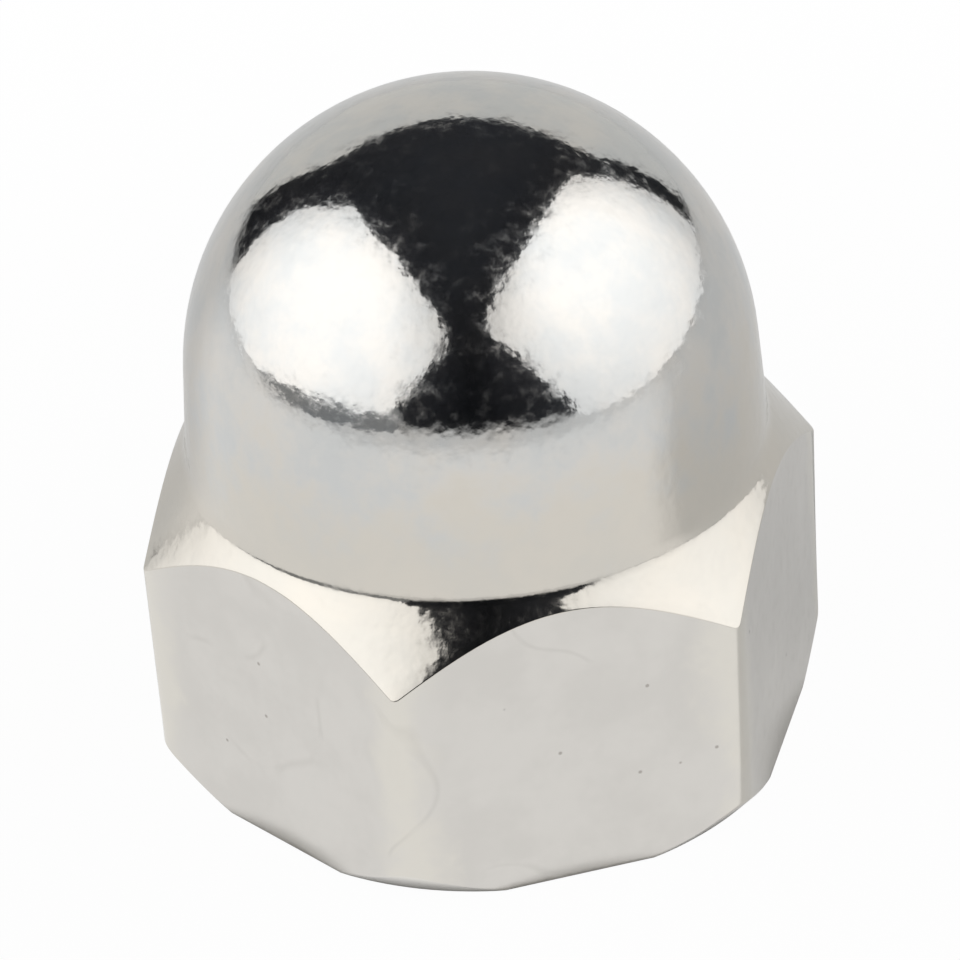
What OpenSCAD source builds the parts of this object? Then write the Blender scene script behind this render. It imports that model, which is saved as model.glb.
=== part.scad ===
// Cap nut, also called a dome or acorn nut, for an M12 coarse screw.
// It is one forged piece of plated steel: a hexagon with a closed dome on top
// and a blind threaded hole from below.
// The origin is the middle of the bearing face, +Z runs up the screw's axis
// to the dome, and one upright corner of the hexagon faces -Y.

/* [Hexagon] */
// Width across the flats, a close fit for a 19 mm spanner
flats = 18.8; // [15.5:0.1:24]
// Height of the hexagon, up to where the skirt of the dome leaves it
hex_h = 10.6; // [8:0.1:15]
// Radius of the six upright corners
corner_r = 1; // [0.3:0.1:2]

/* [Bearing face] */
// How far the rim of the round bearing face stands out past the flats
face_over = 0.2; // [0.1:0.05:0.8]
// Slope of the chamfer under the corners, measured from the bearing face
face_slope = 50; // [25:1:70]

/* [Shoulder] */
// How far the foot of the skirt stands in from the flats
skirt_in = 0.4; // [0.1:0.05:1.5]
// Slope of the shoulder above the corners, measured from the bearing face
shoulder_slope = 58; // [30:1:70]
// Radius of the hollow fillet between the shoulder and the skirt
neck_r = 1; // [0.3:0.1:3]

/* [Dome] */
// Height of the leaning skirt, from the hexagon to the round crown
skirt_h = 3.1; // [1:0.1:8]
// Draft of the skirt, the angle that it leans in by
skirt_draft = 3.5; // [0:0.5:8]
// Wall left in the crown above the tip of the hole
crown_wall = 3; // [1.5:0.1:5]

/* [Threaded hole] */
// Nominal diameter of the thread
thread_d = 12; // [10:0.5:14.5]
// Pitch of the thread
pitch = 1.75; // [1:0.05:2.5]
// Angle of the cone at the blind end, across both sides
tip_angle = 118; // [90:1:150]

/* [Mouth of the hole] */
// Clearance around the screw in the plain ring that leads it in
lead_gap = 0.15; // [0.05:0.05:0.4]
// Depth of the plain ring, from the bearing face
lead_depth = 1.3; // [0.7:0.1:3]
// Width of the countersink around the ring
mouth_rim = 0.45; // [0.1:0.05:0.8]

/* [Hidden] */

$fn = 96;
past = 1; // how far a helping shape runs past the face that it works on
lap = 0.002; // how far an arc laps over the line that it blends into

// The hexagon: each flat ends where the arc of the next corner starts.
inner_r = flats / 2 - corner_r;
flat_w = 2 * inner_r * tan(30);
corner_centre = inner_r / cos(30);

// The turned outline, as radii about the screw's axis.
outer_r = corner_centre + corner_r + past;
face_r = flats / 2 + face_over;
skirt_r = flats / 2 - skirt_in;
face_rise = (outer_r - face_r) * tan(face_slope);
shoulder_drop = (outer_r - skirt_r) * tan(shoulder_slope);

// The crown is a sphere that the top of the skirt touches without a step.
touch_r = skirt_r - skirt_h * tan(skirt_draft);
touch_z = hex_h + skirt_h;
crown_r = touch_r / cos(skirt_draft);
crown_z = touch_z - crown_r * sin(skirt_draft);
height = crown_z + crown_r;

// The fillet's circle touches the shoulder and the skirt from outside.
shoulder_out = [sin(shoulder_slope), cos(shoulder_slope)];
skirt_out = [cos(skirt_draft), sin(skirt_draft)];
neck_shift = neck_r / (1 + shoulder_out * skirt_out);
neck_centre = [skirt_r, hex_h] + neck_shift * (shoulder_out + skirt_out);

// The hole: a countersunk plain ring, a seat cone and the wall inside the crests,
// which stand 5/8 of the sharp thread's height in from the nominal diameter.
crest_d = thread_d - 2 * 5 / 8 * pitch * cos(30);
lead_d = thread_d + 2 * lead_gap;
mouth_d = lead_d + 2 * mouth_rim;
seat_h = (lead_d - crest_d) / 2;
tip_h = crest_d / 2 / tan(tip_angle / 2);
hole_depth = height - crown_wall - tip_h;

// Outline of the hexagon with its six corners rounded.
module rounded_hexagon() {
    for (turn = [0, 60, 120]) rotate(turn) square([flats, flat_w], center = true);
    for (turn = [30:60:330]) rotate(turn) translate([corner_centre, 0]) circle(r = corner_r + lap);
}

// Face chamfer, shoulder and leaning skirt, as half an outline.
module skirted_outline() {
    polygon([
        [0, 0],
        [face_r, 0],
        [outer_r, face_rise],
        [outer_r, hex_h - shoulder_drop],
        [skirt_r, hex_h],
        [touch_r, touch_z],
        [0, touch_z]
    ]);
}

// The spherical crown, as half an outline that starts inside the skirt.
module crown_outline() {
    intersection() {
        translate([0, crown_z - lap]) circle(r = crown_r + lap);
        translate([0, crown_z - past]) square([crown_r + past, crown_r + 2 * past]);
    }
}

// The hollow fillet, cut from a wedge that reaches into the shoulder and the skirt.
module neck_fillet() {
    difference() {
        polygon([
            neck_centre,
            neck_centre - (neck_r + past) * skirt_out,
            neck_centre - (neck_r + past) * shoulder_out
        ]);
        translate(neck_centre) circle(r = neck_r + lap);
    }
}

// The blind hole: countersink, plain ring, seat cone, crest wall and its tip.
module blind_hole() {
    translate([0, 0, -past]) cylinder(d1 = mouth_d + 2 * past, d2 = lead_d, h = mouth_rim + past);
    cylinder(d = lead_d, h = lead_depth);
    translate([0, 0, lead_depth]) cylinder(d1 = lead_d, d2 = crest_d, h = seat_h);
    cylinder(d = crest_d, h = hole_depth);
    translate([0, 0, hole_depth]) cylinder(d1 = crest_d, d2 = 0, h = tip_h);
}

module cap_nut() {
    color([0.82, 0.81, 0.79]) difference() {
        intersection() {
            linear_extrude(height + past) rounded_hexagon();
            rotate_extrude() {
                skirted_outline();
                crown_outline();
                neck_fillet();
            }
        }
        blind_hole();
    }
}

cap_nut();
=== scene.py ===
"""Looks of a domed cap nut for an M12 screw: forged and turned steel in bright nickel plate.

Everything is in metres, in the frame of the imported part: the bearing face stands on z = 0, the
screw's axis is +Z and one upright corner of the hexagon faces -Y. Drawing sizes are given in
millimetres and multiplied by MM.
"""

from math import atan, atan2, cos, hypot, pi, radians, sin, sqrt, tan

import bmesh
import bpy
from bpy.props import FloatProperty, FloatVectorProperty, PointerProperty
from mathutils import Matrix, Quaternion, Vector


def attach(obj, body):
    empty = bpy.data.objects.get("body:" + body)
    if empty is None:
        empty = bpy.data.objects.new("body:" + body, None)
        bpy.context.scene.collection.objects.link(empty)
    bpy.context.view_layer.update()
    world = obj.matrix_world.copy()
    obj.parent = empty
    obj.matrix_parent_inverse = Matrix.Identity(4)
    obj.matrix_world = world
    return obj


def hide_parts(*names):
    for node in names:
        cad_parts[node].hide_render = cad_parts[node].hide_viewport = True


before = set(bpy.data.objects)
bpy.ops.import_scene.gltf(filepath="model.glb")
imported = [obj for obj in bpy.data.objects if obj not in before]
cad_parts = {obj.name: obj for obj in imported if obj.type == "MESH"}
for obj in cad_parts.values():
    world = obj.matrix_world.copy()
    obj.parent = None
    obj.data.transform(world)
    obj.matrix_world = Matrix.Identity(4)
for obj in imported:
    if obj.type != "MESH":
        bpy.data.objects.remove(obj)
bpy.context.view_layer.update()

bl_info = {
    "name": "Cap Nut",
    "version": (1, 0, 0),
    "blender": (4, 5, 0),
    "location": "3D View > Sidebar > Cap Nut",
    "description": "Makes a domed cap nut with its thread and the white table it stands on",
    "category": "Object",
}

MM = 0.001
SIXTH = pi / 3  # the hexagon repeats after this turn
MERGE = 1e-6  # points closer than a thousandth of a millimetre are one point
BRIDGED = 0.1 * MM  # gap between the plain ring and the thread, until a bridge closes it
TABLE_RADIUS = 1.42

# Faces carry one of these material numbers, in the order of the body's slots.
POLISHED, FLAT, SEAT, BORE = range(4)


def to_linear(hex_colour):
    """The linear red, green and blue of an sRGB colour written as six hex digits."""
    channels = []
    for start in (0, 2, 4):
        value = int(hex_colour[start : start + 2], 16) / 255
        channels.append(value / 12.92 if value <= 0.04045 else ((value + 0.055) / 1.055) ** 2.4)
    return tuple(channels)


def length(name, description, millimetres):
    """A length that the panel shows, with its drawing size as the default."""
    return FloatProperty(
        name=name, description=description, default=millimetres * MM, min=0, unit="LENGTH"
    )


def angle(name, description, degrees):
    """An angle that the panel shows, given here in degrees."""
    return FloatProperty(
        name=name, description=description, default=radians(degrees), min=0, unit="ROTATION"
    )


def fraction(name, description, default):
    """A number from 0 to 1 that the panel shows."""
    return FloatProperty(name=name, description=description, default=default, min=0, max=1)


def colour(name, description, hex_colour):
    """A colour that the panel shows, given here as sRGB hex."""
    return FloatVectorProperty(
        name=name,
        description=description,
        default=to_linear(hex_colour),
        size=3,
        min=0,
        max=1,
        subtype="COLOR",
    )


class CapNutSizes(bpy.types.PropertyGroup):
    """Sizes of the nut: those of its solid, and the roundings that the solid leaves out."""

    flats: length("Across flats", "Width of the hexagon from flat to flat", 18.8)
    hex_height: length("Hexagon height", "From the bearing face to the foot of the skirt", 10.6)
    corner_top: length("Corner radius, top", "Of the upright corners, at the shoulder", 0.3)
    corner_foot: length("Corner radius, foot", "Of the upright corners, at the foot", 1.2)
    edge: length("Edge radius", "What forging and plating leave on the shoulder's edge", 0.12)
    foot_edge: length("Foot edge radius", "The same on the edges around the bearing face", 0.2)
    face_over: length("Face overhang", "How far the round face stands out past the flats", 0.2)
    face_slope: angle("Face chamfer", "Slope of the chamfer under the corners", 50)
    skirt_in: length("Skirt step", "How far the skirt's foot stands in from the flats", 0.4)
    shoulder_top: angle("Shoulder slope, top", "Of the hollow shoulder, at the skirt", 59.6)
    shoulder_foot: angle("Shoulder slope, foot", "Of the hollow shoulder, at the corners", 50.1)
    neck: length("Neck fillet", "Radius between the shoulder and the skirt", 1.3)
    skirt_height: length("Skirt height", "From the hexagon to the round crown", 3.1)
    skirt_draft: angle("Skirt draft", "Angle that the skirt leans in by", 3.5)
    crown_wall: length("Crown wall", "Metal left above the tip of the hole", 3.0)
    thread: length("Thread diameter", "Nominal diameter of the thread", 12.0)
    pitch: length("Thread pitch", "Distance from one thread to the next", 1.75)
    run_out: length("Thread run-out", "Length over which the last thread fades away", 1.9)
    lead_gap: length("Lead-in gap", "Clearance of the plain ring around the screw", 0.15)
    lead_depth: length("Lead-in depth", "Depth of the plain ring", 1.3)
    rim: length("Countersink", "Width of the countersink around the ring", 0.45)
    tip: angle("Tip angle", "Angle of the cone at the blind end, across both sides", 118)


class CapNutFinish(bpy.types.PropertyGroup):
    """Colours and polish of the plate."""

    nickel: colour("Nickel", "Bright nickel plate, a slightly warm light grey", "D7D4CF")
    # Partly painted: on the dome this tone is a painted warm reflection, set in below a ragged
    # border at 12 to 15.5 mm; in the bore it is a tone that varies at random
    warm_nickel_and_painted_reflection: colour("Nickel, thicker", "The plate where it is thicker and warmer", "D2CCC1")
    nickel_worn: colour("Nickel, worn", "The plate where it rubbed against other parts", "D2CFCA")
    nickel_cool: colour("Nickel, thinner", "The plate where it is thinner and cooler", "CCCDCC")
    # Painted highlight: this lighter tone is set on the upright corners, from 10.2 mm out from
    # the axis
    nickel_painted_highlight: colour("Nickel, burnished", "The plate on the rubbed corners", "E3DFD5")
    faced: colour("Bearing face", "Plate over the coarser machined face", "A39C93")
    faced_worn: colour("Bearing face, worn", "The same where it has slid on its seat", "B9B3AA")
    bore: colour("Bore", "Thin dull plate inside the blind hole", "8B857D")
    # Partly painted: in the pits and hairlines this tone is dirt; along the foot of the flats it
    # is painted shade
    dirt_and_painted_shade: colour("Pits", "Polishing dirt left in the pits", "6E675C")
    polish: fraction("Dome roughness", "Roughness of the polished dome", 0.085)
    satin: fraction("Flat roughness", "Roughness of the drawn flats", 0.2)


class CapNutStage(bpy.types.PropertyGroup):
    """The table, the lamps and the camera."""

    lamp: FloatProperty(
        name="Lamps", description="Brightness of both softboxes", default=1.58, min=0
    )
    board: colour("Board", "White board that the nut stands on", "E4E4E3")
    card: colour("Card", "Pale card that stands behind the nut", "D8D8D6")
    stand: colour("Stand", "Grey stand under the left softbox", "87898B")
    room: colour("Room", "Unlit room beyond the lamps", "4B4D53")
    far_white: fraction(
        "Far white",
        "How white the far board and the backdrop look. They are a little grey, so that the "
        "lamps in the metal stand out from them in a low view",
        0.82,
    )
    mirrored_white: fraction(
        "Mirrored white", "How much of the board's plain white the metal shows", 0.88
    )
    # Painted shade: behind the nut, the board's white that the metal sees is cut to this share by
    # direction alone
    mirrored_painted_shade: fraction(
        "Mirrored shade", "The same behind the nut, where the board lies in the shade", 0.3
    )
    lens: FloatProperty(
        name="Focal length", description="Of the camera, on a 36 mm sensor", default=297.6, min=1
    )
    azimuth: angle("Camera azimuth", "Round the nut from the corner that faces -Y", 16.34)
    elevation: angle("Camera elevation", "Above the table", 34.49)
    distance: length("Camera distance", "From the point it looks at", 245.5)
    roll: angle("Camera roll", "Turn to the right about its own view", 4.07)
    look_height: length("Look height", "Height on the axis of the point it looks at", 8.67)


# ---------------------------------------------------------------- shape


def hexagon_reach(turn, half, corner):
    """How far the rounded hexagon reaches from the axis at this angle. A flat faces +X."""
    from_flat = abs((turn + SIXTH / 2) % SIXTH - SIXTH / 2)
    if half * tan(from_flat) <= (half - corner) * tan(SIXTH / 2):
        return half / cos(from_flat)
    centre = (half - corner) / cos(SIXTH / 2)
    aside = SIXTH / 2 - from_flat
    return centre * cos(aside) + sqrt(corner**2 - (centre * sin(aside)) ** 2)


def arc(centre, radius, start, end, steps):
    """Points on an arc of the outline, as (distance from the axis, height), ends included."""
    return [
        (
            centre[0] + radius * cos(start + (end - start) * step / steps),
            centre[1] + radius * sin(start + (end - start) * step / steps),
        )
        for step in range(steps + 1)
    ]


class Outline:
    """Half section of the nut, from the top of the dome down to the plain ring of the hole."""

    def __init__(self, sizes):
        self.s = s = sizes
        self.half = s.flats / 2
        self.face_r = self.half + s.face_over
        self.skirt_r = self.half - s.skirt_in
        self.lead_r = s.thread / 2 + s.lead_gap
        touch_r = self.skirt_r - s.skirt_height * tan(s.skirt_draft)
        self.crown_r = touch_r / cos(s.skirt_draft)
        self.crown_z = s.hex_height + s.skirt_height - self.crown_r * sin(s.skirt_draft)
        self.height = self.crown_z + self.crown_r
        self.crest_r = s.thread / 2 - 5 / 8 * s.pitch * cos(SIXTH / 2)
        self.tip_h = self.crest_r / tan(s.tip / 2)
        self.hole_depth = self.height - s.crown_wall - self.tip_h
        # The die leaves the shoulder slightly hollow: its slope eases towards the corners.
        self.drop = tan(s.shoulder_top)
        reach = (self.half - s.corner_top) / cos(SIXTH / 2) + s.corner_top
        self.ease = (tan(s.shoulder_top) - tan(s.shoulder_foot)) / 2 / (reach - self.skirt_r)
        # Ways that a surface faces are angles up from level.
        self.chamfer_down = s.face_slope - pi / 2

    def shoulder(self, reach):
        """Height of the shoulder at this distance from the axis, and the way it faces."""
        out = reach - self.skirt_r
        height = self.s.hex_height - self.drop * out + self.ease * out**2
        return height, pi / 2 - atan(self.drop - 2 * self.ease * out)

    def at(self, turn):
        """Rows of (distance from the axis, height, material of the band below) at this angle."""
        s = self.s
        rows = []

        def add(points, material):
            rows.extend((r, z, material) for r, z in points)

        add(arc((0, self.crown_z), self.crown_r, pi / 2, s.skirt_draft, 36), POLISHED)

        # The fillet touches the leaning skirt and the shoulder from outside.
        up = pi / 2 - s.shoulder_top
        outward = [Vector((cos(tilt), sin(tilt))) for tilt in (up, s.skirt_draft)]
        shift = s.neck / (1 + outward[0] @ outward[1])
        neck = Vector((self.skirt_r, s.hex_height)) + shift * (outward[0] + outward[1])
        add(arc(neck, s.neck, pi + s.skirt_draft, pi + up, 8), POLISHED)

        # The shoulder, down to where the hexagon's side starts to roll over.
        top = hexagon_reach(turn, self.half, s.corner_top)
        start = neck.x - s.neck * cos(up)
        up = self.shoulder(top)[1]
        end = top - s.edge * (1 - cos(up))
        for part in (1 / 4, 1 / 2, 3 / 4):
            reach = start + (end - start) * part
            add([(reach, self.shoulder(reach)[0])], POLISHED)

        # Every crisp edge is rolled over by an arc whose centre lies in from the outline.
        centre = top - s.edge
        height, up = self.shoulder(centre + s.edge * cos(up))
        height -= s.edge * sin(up)
        add(arc((centre, height), s.edge, up, up / 2, 2), POLISHED)
        add(arc((centre, height), s.edge, up / 2, 0, 2)[1:], FLAT)

        foot = hexagon_reach(turn, self.half, s.corner_foot) - s.foot_edge
        chamfer_r = self.face_r - s.foot_edge / sin(s.face_slope)
        rim = min(foot, chamfer_r + s.foot_edge / tan(s.face_slope))
        foot_z = max(s.foot_edge, (foot - chamfer_r) * tan(s.face_slope))
        add(arc((foot, foot_z), s.foot_edge, 0, self.chamfer_down, 4), FLAT)
        add(arc((rim, s.foot_edge), s.foot_edge, self.chamfer_down, -pi / 2, 4), FLAT)

        # The bearing face, its 45 degree countersink with two rolled edges, and the plain ring.
        mouth = self.lead_r + s.rim
        soft = s.edge / 2
        turn_in = tan(pi / 8) * soft
        for part in (1 / 3, 2 / 3):
            add([(rim + (mouth + turn_in - rim) * part, 0)], SEAT)
        add(arc((mouth + turn_in, soft), soft, -pi / 2, -3 * pi / 4, 3), SEAT)
        add(arc((self.lead_r + soft, s.rim + turn_in), soft, -3 * pi / 4, -pi, 3), BORE)
        add([(self.lead_r, s.lead_depth - BRIDGED)], BORE)
        return rows


def draw_in(bm, outline, row_layer):
    """Moves each ring of the turned blank onto the hexagon's own section at that angle."""
    sections = {}
    for vert in bm.verts:
        turn = atan2(vert.co.y, vert.co.x)
        key = round(turn, 5)
        if key not in sections:
            sections[key] = outline.at(turn)
        reach, height, _ = sections[key][vert[row_layer]]
        vert.co = (reach * cos(turn), reach * sin(turn), height)


def shell(outline):
    """The outside of the nut, from the dome down to the plain ring, as an open bmesh."""
    s = outline.s
    bm = bmesh.new()
    row_layer = bm.verts.layers.int.new("row")
    # Half the angle that the largest corner arc takes, seen from the axis.
    centre = (outline.half - s.corner_foot) / cos(SIXTH / 2)
    corner_half = atan2(s.corner_foot / 2, centre + s.corner_foot * cos(SIXTH / 2))
    start = SIXTH / 2 - corner_half

    rows = outline.at(start)
    axis_gap = 0.01 * MM  # keeps the pole off the axis until it has been spun
    verts = []
    for number, (reach, height, _) in enumerate(rows):
        reach = max(reach, axis_gap)
        vert = bm.verts.new((reach * cos(start), reach * sin(start), height))
        vert[row_layer] = number
        verts.append(vert)
    last = verts + [bm.edges.new(pair) for pair in zip(verts, verts[1:])]
    for _ in range(6):
        for sweep, steps in ((2 * corner_half, 12), (SIXTH - 2 * corner_half, 30)):
            last = bmesh.ops.spin(
                bm, geom=last, cent=(0, 0, 0), axis=(0, 0, 1), angle=sweep, steps=steps
            )["geom_last"]
    draw_in(bm, outline, row_layer)
    for face in bm.faces:
        face.material_index = rows[min(vert[row_layer] for vert in face.verts)][2]
    bmesh.ops.remove_doubles(bm, verts=bm.verts, dist=MERGE)
    return bm


def threaded_bore(outline):
    """The thread, its run-out and the blind end, as an open bmesh up from the plain ring."""
    s = outline.s
    root_r, crest_r, pitch = s.thread / 2, outline.crest_r, s.pitch
    steps = 120  # in one turn
    rounding = 0.09 * MM  # of the crests and the roots
    uncut = 1.2 * MM  # length at the blind end that the tap doesn't reach
    bm = bmesh.new()
    # One thread from the middle of a crest to the middle of the next: the crest flat is a
    # quarter of the pitch and the root flat an eighth.
    profile = [
        (crest_r, 0),
        (crest_r, pitch / 8),
        (root_r, pitch * 7 / 16),
        (root_r, pitch * 9 / 16),
        (crest_r, pitch * 7 / 8),
        (crest_r, pitch),
    ]
    verts = [bm.verts.new((reach, 0, height - pitch)) for reach, height in profile]
    for pair in zip(verts, verts[1:]):
        bm.edges.new(pair)
    bmesh.ops.bevel(
        bm,
        geom=verts[1:-1],
        offset=rounding,
        offset_type="OFFSET",
        affect="VERTICES",
        segments=3,
        profile=0.5,
        material=-1,
        clamp_overlap=True,
    )
    # The spin climbs by one pitch, so its end is merged with the start of the next turn.
    bmesh.ops.spin(
        bm,
        geom=bm.verts[:] + bm.edges[:],
        cent=(0, 0, 0),
        axis=(0, 0, 1),
        dvec=(0, 0, pitch / steps),
        angle=2 * pi,
        steps=steps,
    )
    # Turns are stacked until they are longer than the hole.
    one_turn = bm.verts[:] + bm.edges[:] + bm.faces[:]
    for number in range(1, int(outline.hole_depth / pitch) + 3):
        copy = bmesh.ops.duplicate(bm, geom=one_turn)["geom"]
        moved = [item for item in copy if isinstance(item, bmesh.types.BMVert)]
        bmesh.ops.translate(bm, vec=(0, 0, number * pitch), verts=moved)
    bmesh.ops.remove_doubles(bm, verts=bm.verts, dist=MERGE * 4)

    # The tap's run-out fades the last thread, and the seat cone opens the first one.
    thread_end = outline.hole_depth - uncut
    for vert in bm.verts:
        reach, turn, height = hypot(vert.co.x, vert.co.y), atan2(vert.co.y, vert.co.x), vert.co.z
        fade = min(1, max(0, (thread_end - height) / s.run_out))
        reach = crest_r + (reach - crest_r) * fade
        reach = max(reach, outline.lead_r - (height - s.lead_depth))
        vert.co = (reach * cos(turn), reach * sin(turn), height)
    for height, up in ((s.lead_depth, -1), (outline.hole_depth, 1)):
        bmesh.ops.bisect_plane(
            bm,
            geom=bm.verts[:] + bm.edges[:] + bm.faces[:],
            dist=MERGE / 10,
            plane_co=(0, 0, height),
            plane_no=(0, 0, up),
            clear_outer=True,
        )
    bmesh.ops.remove_doubles(bm, verts=bm.verts, dist=MERGE * 4)

    # The blind end is the cone that the drill's tip leaves.
    top = [edge for edge in bm.edges if edge.is_boundary and edge.verts[0].co.z > s.hex_height]
    cone = bmesh.ops.extrude_edge_only(bm, edges=top)
    tip = [item for item in cone["geom"] if isinstance(item, bmesh.types.BMVert)]
    bmesh.ops.pointmerge(bm, verts=tip, merge_co=(0, 0, outline.hole_depth + outline.tip_h))
    for face in bm.faces:
        face.material_index = BORE
    return bm


def join(bm, other):
    """Adds the other bmesh to the first one and frees it."""
    carrier = bpy.data.meshes.new("carrier")
    other.to_mesh(carrier)
    other.free()
    bm.from_mesh(carrier)
    bpy.data.meshes.remove(carrier)


def finish_piece(bm, name, materials):
    """Makes the bmesh a smooth object at the origin, with its faces outward."""
    bmesh.ops.recalc_face_normals(bm, faces=bm.faces)
    for face in bm.faces:
        face.smooth = True
    mesh = bpy.data.meshes.new(name)
    bm.to_mesh(mesh)
    bm.free()
    for material in materials:
        mesh.materials.append(material)
    piece = bpy.data.objects.new(name, mesh)
    bpy.context.collection.objects.link(piece)
    return piece


# ---------------------------------------------------------------- materials


def add_node(tree, kind, inputs=(), **settings):
    """Adds a node with its settings and links.

    Inputs are named, or given in the order of the node's sockets. Each is a value, another
    node's socket, or another node, which stands for its first output in use. A map range takes
    its value, the range that it comes from and the range that it goes to.
    """
    node = tree.nodes.new(kind)
    for name, value in settings.items():
        setattr(node, name, value)
    for place, value in inputs.items() if isinstance(inputs, dict) else enumerate(inputs):
        if isinstance(value, bpy.types.Node):
            value = next(socket for socket in value.outputs if socket.enabled)
        if isinstance(value, bpy.types.NodeSocket):
            tree.links.new(value, node.inputs[place])
        else:
            node.inputs[place].default_value = value
    return node


def new_material(name):
    """An empty node material and its tree."""
    material = bpy.data.materials.new(name)
    material.use_nodes = True
    material.node_tree.nodes.clear()
    return material, material.node_tree


def per(millimetres):
    """The texture scale that gives one feature in this many millimetres."""
    return 1 / (millimetres * MM)


def rgba(rgb):
    """The colour with full cover, as sockets take it."""
    return (*rgb, 1)


# How a relief or a tint is squashed along each axis.
EVEN = (1.0, 1.0, 1.0)
UPRIGHT = (1.0, 1.0, 0.05)  # features twenty times as tall as they are wide
LEVEL = (1.0, 0.06, 1.0)  # features drawn out along one level direction
FROM_AXIS = (1.0, 1.0, 0.0)
FROM_FACE = (0.0, 0.0, 1.0)

SOILED = {"pits": 0.45, "hairlines": 0.08}  # how much of the soiled tone they hold


def relief(tree, place, pattern, size, stretch):
    """The height of one layer of relief, from 0 to 1, with features size millimetres across.

    Pits, hairlines and rings have a pattern of their own. Any other name is a plain noise.
    """
    place = add_node(tree, "ShaderNodeMapping", {"Vector": place, "Scale": stretch})
    if pattern == "pits":
        apart = 1.5  # millimetres from one pit to the next
        spots = add_node(tree, "ShaderNodeTexVoronoi", {"Vector": place, "Scale": per(apart)})
        return add_node(tree, "ShaderNodeMapRange", (spots, size / 6, size / 3))
    if pattern == "hairlines":
        # Short wandering lines, where a slow noise passes through its middle value.
        hills, gaps = (
            add_node(
                tree,
                "ShaderNodeTexNoise",
                {"Vector": place, "Scale": per(wave), "Detail": 1.0, "Roughness": 0.4},
            )
            for wave in (6.5, 2.6)
        )
        slope = add_node(tree, "ShaderNodeMath", (hills, 0.5), operation="SUBTRACT")
        slope = add_node(tree, "ShaderNodeMath", (slope,), operation="ABSOLUTE")
        line = add_node(tree, "ShaderNodeMapRange", (slope, 0.0, size / 10))
        gap = add_node(tree, "ShaderNodeMapRange", (gaps, 0.4, 0.5))
        return add_node(tree, "ShaderNodeMath", (line, gap), operation="MAXIMUM")
    if pattern == "rings":
        rings = add_node(
            tree,
            "ShaderNodeTexWave",
            {
                "Vector": place,
                "Scale": per(size) * pi / 10,  # the rings repeat every pi / 10 of its unit
                "Distortion": 1.0,
                "Detail": 2.0,
                "Detail Scale": 2.0,
            },
            wave_type="RINGS",
            rings_direction="Z",
        )
        return rings.outputs["Fac"]
    return add_node(
        tree,
        "ShaderNodeTexNoise",
        {"Vector": place, "Scale": per(size), "Detail": 2.0, "Roughness": 0.55},
    )


def plate(name, tones, cloud, roughness, reliefs, tints=(), dirt_and_painted_shade=None):
    """Nickel plate: two tones in clouds of this size, a range of roughness and its relief.

    A relief is (pattern, size, depth, stretch): its size in millimetres, its depth in
    thousandths of one, and how it is squashed along each axis. The soiled tone fills those
    named in SOILED. A tint is (tone, along, start, end, strength): it sets in between two
    distances from the axis or from the bearing face, in millimetres.
    """
    grit = 0.45  # size of the grain that varies the roughness
    to_and_fro = 3  # how far the clouds shift a tint's border, in widths of the border
    material, tree = new_material(name)
    place = add_node(tree, "ShaderNodeTexCoord").outputs["Object"]
    clouds = add_node(
        tree,
        "ShaderNodeTexNoise",
        {"Vector": place, "Scale": per(cloud), "Detail": 5.0, "Roughness": 0.6},
    )
    cloudy = add_node(
        tree,
        "ShaderNodeMapRange",
        (clouds, 0.35, 0.65, 0.0, 1.0),
        interpolation_type="SMOOTHSTEP",
    )
    tone = add_node(
        tree,
        "ShaderNodeMix",
        {"Factor": cloudy, "A": rgba(tones[0]), "B": rgba(tones[1])},
        data_type="RGBA",
    )
    for tint, along, start, end, strength in tints:
        kept = add_node(tree, "ShaderNodeVectorMath", (place, along), operation="MULTIPLY")
        far = add_node(tree, "ShaderNodeVectorMath", (kept,), operation="LENGTH")
        swing = to_and_fro * abs(end - start) * MM
        ragged = add_node(tree, "ShaderNodeMath", (clouds, swing, far), operation="MULTIPLY_ADD")
        amount = add_node(
            tree,
            "ShaderNodeMapRange",
            (ragged, start * MM + swing / 2, end * MM + swing / 2, 0.0, strength),
            interpolation_type="SMOOTHSTEP",
        )
        tone = add_node(
            tree,
            "ShaderNodeMix",
            {"Factor": amount, "A": tone, "B": rgba(tint)},
            data_type="RGBA",
        )
    grain = add_node(
        tree,
        "ShaderNodeTexNoise",
        {"Vector": place, "Scale": per(grit), "Detail": 4.0, "Roughness": 0.65},
    )
    rough = add_node(
        tree,
        "ShaderNodeMapRange",
        (grain, 0.45, 0.75, *roughness),
        interpolation_type="SMOOTHSTEP",
    )
    finish = {"Metallic": 1.0, "Roughness": rough}
    for pattern, size, depth, stretch in reliefs:
        height = relief(tree, place, pattern, size, stretch)
        inputs = {"Height": height, "Distance": depth * MM * MM}
        if "Normal" in finish:
            inputs["Normal"] = finish["Normal"]
        finish["Normal"] = add_node(tree, "ShaderNodeBump", inputs)
        if pattern in SOILED:
            held = (height, 0.0, 1.0, SOILED[pattern], 0.0)
            amount = add_node(tree, "ShaderNodeMapRange", held)
            tone = add_node(
                tree,
                "ShaderNodeMix",
                {"Factor": amount, "A": tone, "B": rgba(dirt_and_painted_shade)},
                data_type="RGBA",
            )
    metal = add_node(tree, "ShaderNodeBsdfPrincipled", {"Base Color": tone, **finish})
    add_node(tree, "ShaderNodeOutputMaterial", {"Surface": metal})
    return material


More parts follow.
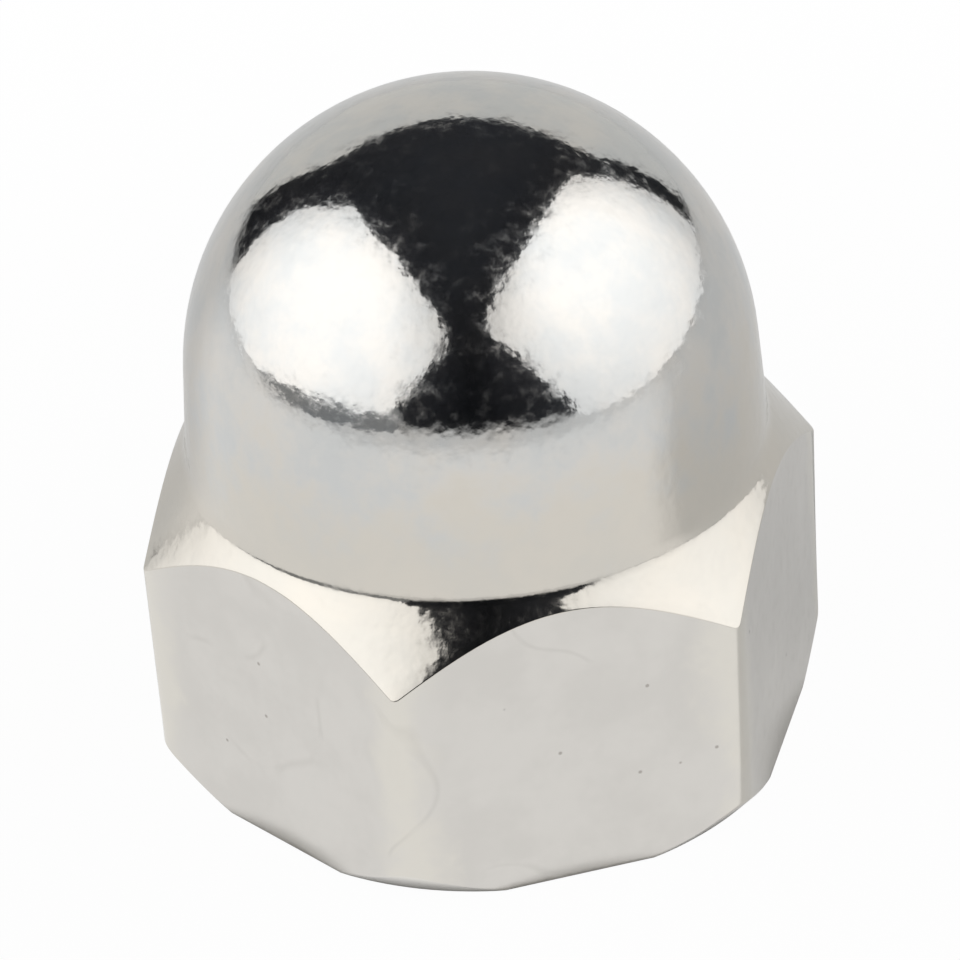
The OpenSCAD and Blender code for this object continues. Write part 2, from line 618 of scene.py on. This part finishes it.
def polished_nickel(finish):
    """Bright nickel plate on a forged dome, barrel polished.

    It gives the eye a near mirror: crisp pictures of the lamps whose edges the plate's fine
    orange peel makes ragged, over slow waves left by the polishing.
    """
    return plate(
        "polished_nickel_plate",
        (finish.nickel, finish.nickel_cool),
        2.4,
        (finish.polish, finish.polish * 2.6),
        [
            ("waves", 2.6, 14.0, EVEN),
            ("peel", 0.8, 14.0, EVEN),
            ("grain", 0.3, 3.4, EVEN),
        ],
        # Painted reflection: the plate turns warmer below a ragged border at 15.5 to 12 mm above
        # the bearing face
        [(finish.warm_nickel_and_painted_reflection, FROM_FACE, 15.5, 12.0, 0.7)],
    )


def satin_nickel(finish):
    """Nickel plate on the flats of drawn hexagon bar.

    It gives the eye a soft, even sheen: the table shows only as a pale glow, broken by cloudy
    patches, faint drawing lines, scratches and hairlines and a few small pits. A lighter tone is
    painted on the corners as a highlight, and a darker one along the foot as shade.
    """
    return plate(
        "satin_nickel_flats",
        (finish.nickel, finish.nickel_worn),
        2.6,
        (finish.satin * 0.85, finish.satin * 1.3),
        [
            ("waves", 2.2, 12.0, EVEN),
            ("lines", 0.25, 0.8, UPRIGHT),
            ("scratches", 0.12, 0.5, LEVEL),
            ("grain", 0.35, 3.0, EVEN),
            ("hairlines", 0.12, 1.2, EVEN),
            ("pits", 0.16, 5.0, EVEN),
        ],
        [
            # Painted highlight on the upright corners
            (finish.nickel_painted_highlight, FROM_AXIS, 10.2, 10.7, 0.6),
            # Painted shade: the flats darken towards the bearing face, below about 0.3 mm
            (finish.dirt_and_painted_shade, FROM_FACE, 0.3, 0.05, 0.4),
        ],
        finish.dirt_and_painted_shade,
    )


def faced_nickel(finish):
    """Nickel plate on the turned bearing face.

    It gives the eye a duller, brownish grey ring with fine rings from the lathe, crossed by
    short scratches.
    """
    return plate(
        "turned_nickel_face",
        (finish.faced, finish.faced_worn),
        1.8,
        (0.24, 0.42),
        [
            ("rings", 0.3, 2.5, EVEN),
            ("scratches", 0.2, 3.0, LEVEL),
            ("pits", 0.2, 10.0, EVEN),
        ],
        dirt_and_painted_shade=finish.dirt_and_painted_shade,
    )


def bore_nickel(finish):
    """Thin nickel plate in the tapped hole.

    It gives the eye a dull, darker plate clouded with a lighter tone, because the plating bath
    hardly reaches into a blind thread.
    """
    return plate(
        "thin_nickel_bore",
        (finish.bore, finish.warm_nickel_and_painted_reflection),
        1.2,
        (0.25, 0.4),
        [("waves", 1.2, 6.0, EVEN), ("tears", 0.15, 3.0, EVEN)],
    )


def picture_share(tree, seen, mirrored):
    """How much of plain white a surface shows: seen to the eye, mirrored in metal or glass."""
    rays = add_node(tree, "ShaderNodeLightPath").outputs
    in_metal = add_node(
        tree,
        "ShaderNodeMath",
        (rays["Is Glossy Ray"], rays["Is Transmission Ray"]),
        operation="MAXIMUM",
    )
    in_metal = add_node(tree, "ShaderNodeMath", (in_metal, mirrored), operation="MULTIPLY")
    return add_node(
        tree,
        "ShaderNodeMath",
        (rays["Is Camera Ray"], seen, in_metal),
        operation="MULTIPLY_ADD",
    )


def white_board(stage):
    """Matt white board, which shows as plain white with a trace of the nut's shadow.

    The metal sees it in full white before the nut, and in a painted shade behind the nut from the
    hexagon's right corner on, which nothing casts. It sees it dark right under the nut, and
    fading out towards the top of the kerb.
    """
    material, tree = new_material("matt_white_board")
    place = add_node(tree, "ShaderNodeTexCoord").outputs["Object"]
    away = add_node(tree, "ShaderNodeVectorMath", (place,), operation="LENGTH")
    seen, clear_of_nut, whiteness = (
        add_node(
            tree,
            "ShaderNodeMapRange",
            (away, start * MM, end * MM, first, last),
            interpolation_type="SMOOTHSTEP",
        )
        for start, end, first, last in (
            (12, 60, 0.97, 1.0),
            (9.5, 10.2, 0.0, 1.0),
            (130, 380, 1.0, stage.far_white),
        )
    )
    # Painted shade: a sector behind the nut, from the hexagon's right corner on, where the metal
    # sees less of the board's white
    painted_shade_bearing = radians(172)  # from -Y towards +X
    into_painted_shade = (sin(painted_shade_bearing), -cos(painted_shade_bearing), 0)
    right_corner = (9 * MM, -6 * MM, 0)
    outward = add_node(tree, "ShaderNodeVectorMath", (place, right_corner), operation="SUBTRACT")
    outward = add_node(tree, "ShaderNodeVectorMath", (outward,), operation="NORMALIZE")
    behind = add_node(
        tree, "ShaderNodeVectorMath", (outward, into_painted_shade), operation="DOT_PRODUCT"
    )
    white_with_painted_shade = add_node(
        tree,
        "ShaderNodeMapRange",
        (behind, 0.0, 0.4, stage.mirrored_white, stage.mirrored_painted_shade),
        interpolation_type="SMOOTHSTEP",
    )
    mirrored = add_node(tree, "ShaderNodeMath", (white_with_painted_shade, clear_of_nut), operation="MULTIPLY")
    # The fade follows the kerb, whose top slopes down from the front to the back.
    sloping = (0, 0.06, 1)
    height = add_node(tree, "ShaderNodeVectorMath", (place, sloping), operation="DOT_PRODUCT")
    fade = add_node(tree, "ShaderNodeMapRange", (height, 10 * MM, 80 * MM, 1.0, 0.0))
    mirrored = add_node(tree, "ShaderNodeMath", (mirrored, fade), operation="MULTIPLY")
    board = add_node(tree, "ShaderNodeBsdfDiffuse", {"Color": rgba(stage.board)})
    white = add_node(tree, "ShaderNodeEmission", {"Strength": whiteness})
    share = picture_share(tree, seen, mirrored)
    mix = add_node(tree, "ShaderNodeMixShader", (share, board, white))
    add_node(tree, "ShaderNodeOutputMaterial", {"Surface": mix})
    return material


def matt(name, rgb):
    """A plain matt surface of the studio."""
    material, tree = new_material(name)
    board = add_node(tree, "ShaderNodeBsdfDiffuse", {"Color": rgba(rgb)})
    add_node(tree, "ShaderNodeOutputMaterial", {"Surface": board})
    return material


def glowing_cloth(name, strength, lamp, distance):
    """White softbox cloth, brightest around the lamp behind it and dimmer towards its edges."""
    edge_strength = 0.52 * strength
    material, tree = new_material(name)
    place = add_node(tree, "ShaderNodeTexCoord").outputs["Object"]
    away = add_node(tree, "ShaderNodeVectorMath", (place, lamp), operation="DISTANCE")
    glow = add_node(
        tree,
        "ShaderNodeMapRange",
        (away, 0.3 * distance, 2.0 * distance, strength, edge_strength),
        interpolation_type="SMOOTHSTEP",
    )
    cloth = add_node(tree, "ShaderNodeEmission", {"Strength": glow})
    add_node(tree, "ShaderNodeOutputMaterial", {"Surface": cloth})
    return material


def glowing_card(name, rgb):
    """Card that glows by itself in its own colour and shows only in the metal: painted light, not
    lamp light falling on it.
    """
    material, tree = new_material(name)
    card = add_node(tree, "ShaderNodeEmission", {"Color": rgba(rgb), "Strength": 1.0})
    add_node(tree, "ShaderNodeOutputMaterial", {"Surface": card})
    return material


# ---------------------------------------------------------------- operators


class CAPNUT_OT_body(bpy.types.Operator):
    """Makes the nut: spun outside, hexagon, thread and blind end, as one closed body"""

    bl_idname = "cap_nut.body"
    bl_label = "Nut Body"
    bl_options = {"REGISTER", "UNDO"}

    def execute(self, context):
        outline = Outline(context.scene.cap_nut_sizes)
        finish = context.scene.cap_nut_finish
        bm = shell(outline)
        join(bm, threaded_bore(outline))
        rims = [edge for edge in bm.edges if edge.is_boundary]
        bridge = bmesh.ops.bridge_loops(bm, edges=rims)
        for face in bridge["faces"]:
            face.material_index = BORE
        if any(not edge.is_manifold for edge in bm.edges):
            raise RuntimeError("The nut's body isn't closed")
        materials = [
            polished_nickel(finish),
            satin_nickel(finish),
            faced_nickel(finish),
            bore_nickel(finish),
        ]
        body = finish_piece(bm, "nut_body", materials)
        # Keeps the broad faces flat to their rolled edges.
        body.modifiers.new("Even shading", "WEIGHTED_NORMAL")
        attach(body, "root")
        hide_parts("cap_nut")
        return {"FINISHED"}


class CAPNUT_OT_stage(bpy.types.Operator):
    """Makes the white table, the backdrop, the room, both softboxes, the world and the camera"""

    bl_idname = "cap_nut.stage"
    bl_label = "Table, Lamps and Camera"
    bl_options = {"REGISTER", "UNDO"}

    def execute(self, context):
        stage = context.scene.cap_nut_stage
        make_table(stage)
        make_room(stage)
        make_softboxes(stage)
        make_world(context.scene, stage)
        make_camera(context.scene, stage)
        return {"FINISHED"}


def stage_piece(bm, name, material, seen):
    """Makes the bmesh a part of the stage. One that isn't seen still shows in the metal."""
    mesh = bpy.data.meshes.new(name)
    bm.to_mesh(mesh)
    bm.free()
    mesh.materials.append(material)
    piece = bpy.data.objects.new(name, mesh)
    bpy.context.collection.objects.link(piece)
    piece.visible_camera = seen
    return piece


def make_table(stage):
    """The table, with a kerb around it that is tall at the front and low behind."""
    bm = bmesh.new()
    bmesh.ops.create_circle(bm, cap_ends=True, segments=96, radius=TABLE_RADIUS)
    kerb = bmesh.ops.extrude_edge_only(bm, edges=bm.edges[:])["geom"]
    top = [part for part in kerb if isinstance(part, bmesh.types.BMVert)]
    middle = (0, 0, 90 * MM)
    tip = Matrix.Rotation(radians(-3.2), 3, "X")
    bmesh.ops.translate(bm, vec=middle, verts=top)
    bmesh.ops.rotate(bm, cent=middle, matrix=tip, verts=top)
    stage_piece(bm, "floor_table", white_board(stage), True)


def make_room(stage):
    """The unlit room over the table, as half a ball that just clears it."""
    bm = bmesh.new()
    radius = TABLE_RADIUS + 30 * MM
    bmesh.ops.create_uvsphere(bm, u_segments=48, v_segments=24, radius=radius)
    bmesh.ops.bisect_plane(
        bm,
        geom=bm.verts[:] + bm.edges[:] + bm.faces[:],
        plane_co=(0, 0, -1 * MM),
        plane_no=(0, 0, -1),
        clear_outer=True,
    )
    stage_piece(bm, "backdrop_room", matt("unlit_room", stage.room), False)


def panel(corners, bearing, distance):
    """An upright panel square to the direction at this bearing.

    Corners are (along, up) in units of the distance. Bearings turn from -Y towards +X.
    """
    bm = bmesh.new()
    verts = [bm.verts.new((along * distance, 0, up * distance)) for along, up in corners]
    bmesh.ops.contextual_create(bm, geom=verts)
    bmesh.ops.bevel(
        bm,
        geom=verts,
        offset=0.1 * distance,
        offset_type="OFFSET",
        affect="VERTICES",
        segments=4,
        profile=0.5,
        material=-1,
    )
    bmesh.ops.translate(bm, vec=(0, -distance, 0), verts=bm.verts)
    bmesh.ops.rotate(bm, cent=(0, 0, 0), matrix=Matrix.Rotation(bearing, 3, "Z"), verts=bm.verts)
    return bm


def make_softboxes(stage):
    """Both softboxes, the stand under the left one and the card behind the nut."""
    distance = 0.42
    left = [
        (-1.68, 0.0),
        (-0.5, 0.0),
        (0.0, 0.125),
        (0.7, 0.21),
        (1.2, 0.87),
        (1.48, 1.4),
        (1.5, 1.86),
        (0.35, 2.1),
        (-0.6, 1.92),
        (-1.28, 1.88),
        (-1.62, 1.14),
    ]
    right = [
        (-0.52, 0.03),
        (-0.77, 0.42),
        (-1.12, 1.0),
        (-1.78, 2.0),
        (-1.2, 2.35),
        (0.3, 2.25),
        (1.8, 2.05),
        (1.95, 0.9),
        (1.95, 0.0),
    ]
    # Each lamp hangs high and to the outer side of its box.
    for name, corners, bearing, lamp in (
        ("backdrop_softbox_left", left, radians(-54), (-0.2, 0.9)),
        ("backdrop_softbox_right", right, radians(86), (0.28, 1.15)),
    ):
        bm = panel(corners, bearing, distance)
        spot = Matrix.Rotation(bearing, 3, "Z") @ Vector((lamp[0], -1, lamp[1])) * distance
        cloth = glowing_cloth(name + "_cloth", stage.lamp, spot, distance)
        stage_piece(bm, name, cloth, False)
    card = [(-0.68, 0.0), (0.85, 0.0), (0.85, 0.72), (-0.68, 0.75)]
    bm = panel(card, radians(191), distance)
    stage_piece(bm, "backdrop_card", glowing_card("pale_card", stage.card), False)
    # The stand glows by itself too: painted light in place of lamp light falling on it
    stand = [(-0.8, 0.0), (0.1, 0.0), (0.45, 0.04), (0.9, 0.12), (0.9, 0.32), (-0.8, 0.28)]
    bm = panel(stand, radians(-54), 1.05 * distance)
    stage_piece(bm, "backdrop_stand", glowing_card("grey_stand", stage.stand), False)


def make_world(scene, stage):
    """Plain white behind everything, for rays that carry a picture."""
    world = bpy.data.worlds.new("white_surround")
    world.use_nodes = True
    tree = world.node_tree
    tree.nodes.clear()
    back = add_node(
        tree,
        "ShaderNodeBackground",
        {"Color": (1, 1, 1, 1), "Strength": picture_share(tree, stage.far_white, 1.0)},
    )
    add_node(tree, "ShaderNodeOutputWorld", {"Surface": back})
    scene.world = world


def make_camera(scene, stage):
    """The camera, which looks at a point on the nut's axis."""
    data = bpy.data.cameras.new("camera")
    data.lens = stage.lens
    data.sensor_width = 36
    data.clip_start = 0.01
    data.clip_end = 10
    camera = bpy.data.objects.new("camera", data)
    scene.collection.objects.link(camera)
    back = Vector(
        (
            sin(stage.azimuth) * cos(stage.elevation),
            -cos(stage.azimuth) * cos(stage.elevation),
            sin(stage.elevation),
        )
    )
    camera.location = Vector((0, 0, stage.look_height)) + back * stage.distance
    camera.rotation_mode = "QUATERNION"
    level = (-back).to_track_quat("-Z", "Y")
    camera.rotation_quaternion = level @ Quaternion((0, 0, 1), -stage.roll)
    scene.camera = camera
    scene.view_settings.view_transform = "Standard"


class CAPNUT_PT_panel(bpy.types.Panel):
    """Lists the sizes, the finish and the steps that make the nut"""

    bl_idname = "CAPNUT_PT_panel"
    bl_label = "Cap Nut"
    bl_space_type = "VIEW_3D"
    bl_region_type = "UI"
    bl_category = "Cap Nut"

    def draw(self, context):
        layout = self.layout
        scene = context.scene
        for group in (scene.cap_nut_sizes, scene.cap_nut_finish, scene.cap_nut_stage):
            box = layout.box()
            for name in group.bl_rna.properties.keys():
                if name not in ("rna_type", "name"):
                    box.prop(group, name)
        for operator in OPERATORS:
            layout.operator(operator.bl_idname)


OPERATORS = (CAPNUT_OT_body, CAPNUT_OT_stage)
CLASSES = (CapNutSizes, CapNutFinish, CapNutStage, *OPERATORS, CAPNUT_PT_panel)


def register():
    for cls in CLASSES:
        bpy.utils.register_class(cls)
    bpy.types.Scene.cap_nut_sizes = PointerProperty(type=CapNutSizes)
    bpy.types.Scene.cap_nut_finish = PointerProperty(type=CapNutFinish)
    bpy.types.Scene.cap_nut_stage = PointerProperty(type=CapNutStage)


def unregister():
    del bpy.types.Scene.cap_nut_stage
    del bpy.types.Scene.cap_nut_finish
    del bpy.types.Scene.cap_nut_sizes
    for cls in reversed(CLASSES):
        bpy.utils.unregister_class(cls)


def main():
    register()
    bpy.ops.cap_nut.body()
    bpy.ops.cap_nut.stage()


if __name__ == "__main__":
    main()
